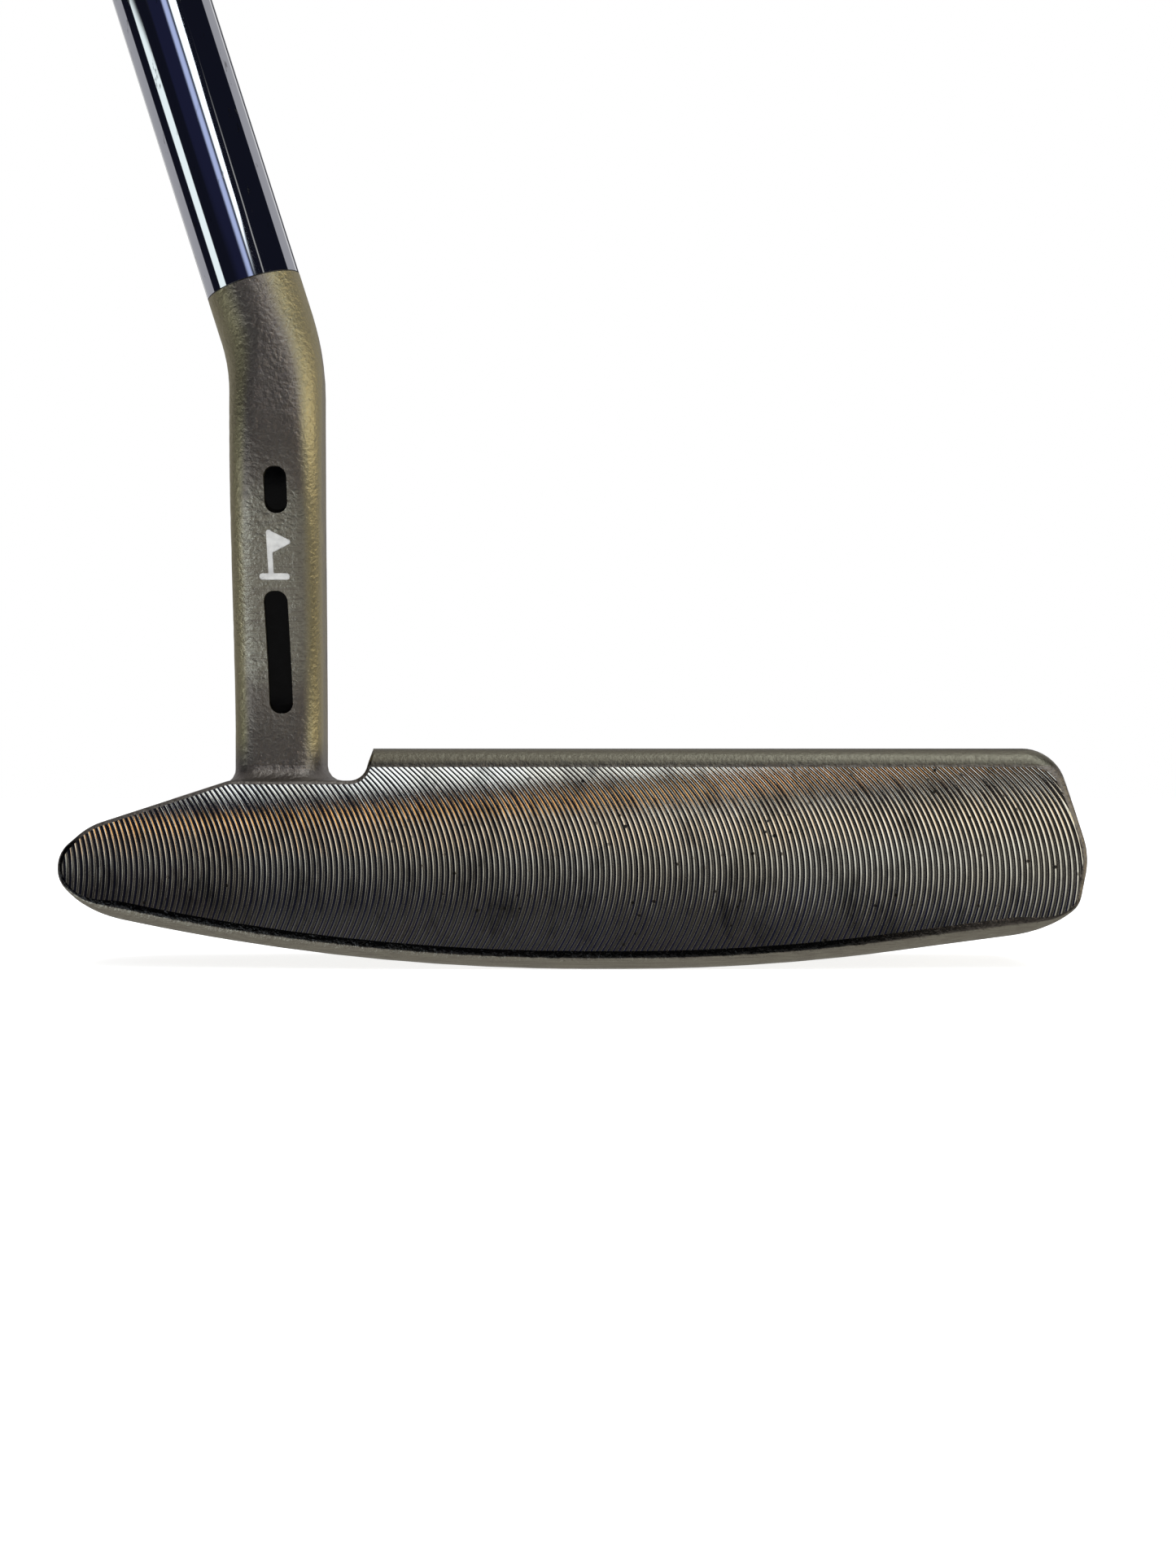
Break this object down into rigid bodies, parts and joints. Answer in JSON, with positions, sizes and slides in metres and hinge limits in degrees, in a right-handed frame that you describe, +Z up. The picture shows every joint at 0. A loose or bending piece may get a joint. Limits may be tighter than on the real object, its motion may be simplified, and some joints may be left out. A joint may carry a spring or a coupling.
{
  "type": "blade putter",
  "caption": "Left-handed blade putter: milled-face cast head with a swept neck, stepped chrome shaft over the hosel post and a rubber paddle grip.",
  "frame": {"origin": "on the ground at the centre of the flat on the sole, club standing at address", "axes": "+Z up; +X towards the toe; the striking face looks towards -Y and the shaft leans towards -X"},
  "size_m": [0.3545, 0.0455, 0.8498],
  "materials": {
    "head_steel": "bead-blasted satin with a smoky warm tint; striking face cross-milled in arcs, sole and topline brushed",
    "black_enamel": "gloss fill",
    "white_enamel": "gloss fill",
    "epoxy": "cured adhesive",
    "shaft_chrome": "mirror plate",
    "band_foil": "plain printed foil",
    "tape": "paper-backed double-sided tape",
    "grip_rubber": "moulded, matte",
    "cap_rubber": "moulded, matte"
  },
  "bodies": {
    "root": {"head": "head_steel", "upper_slot_enamel": "black_enamel", "lower_slot_enamel": "black_enamel", "neck_mark_enamel": "white_enamel", "sight_line_enamel": "white_enamel", "hosel_epoxy": "epoxy", "shaft": "shaft_chrome", "shaft_band": "band_foil", "grip_tape": "tape", "grip": "grip_rubber", "grip_cap": "cap_rubber"}
  },
  "joints": []
}
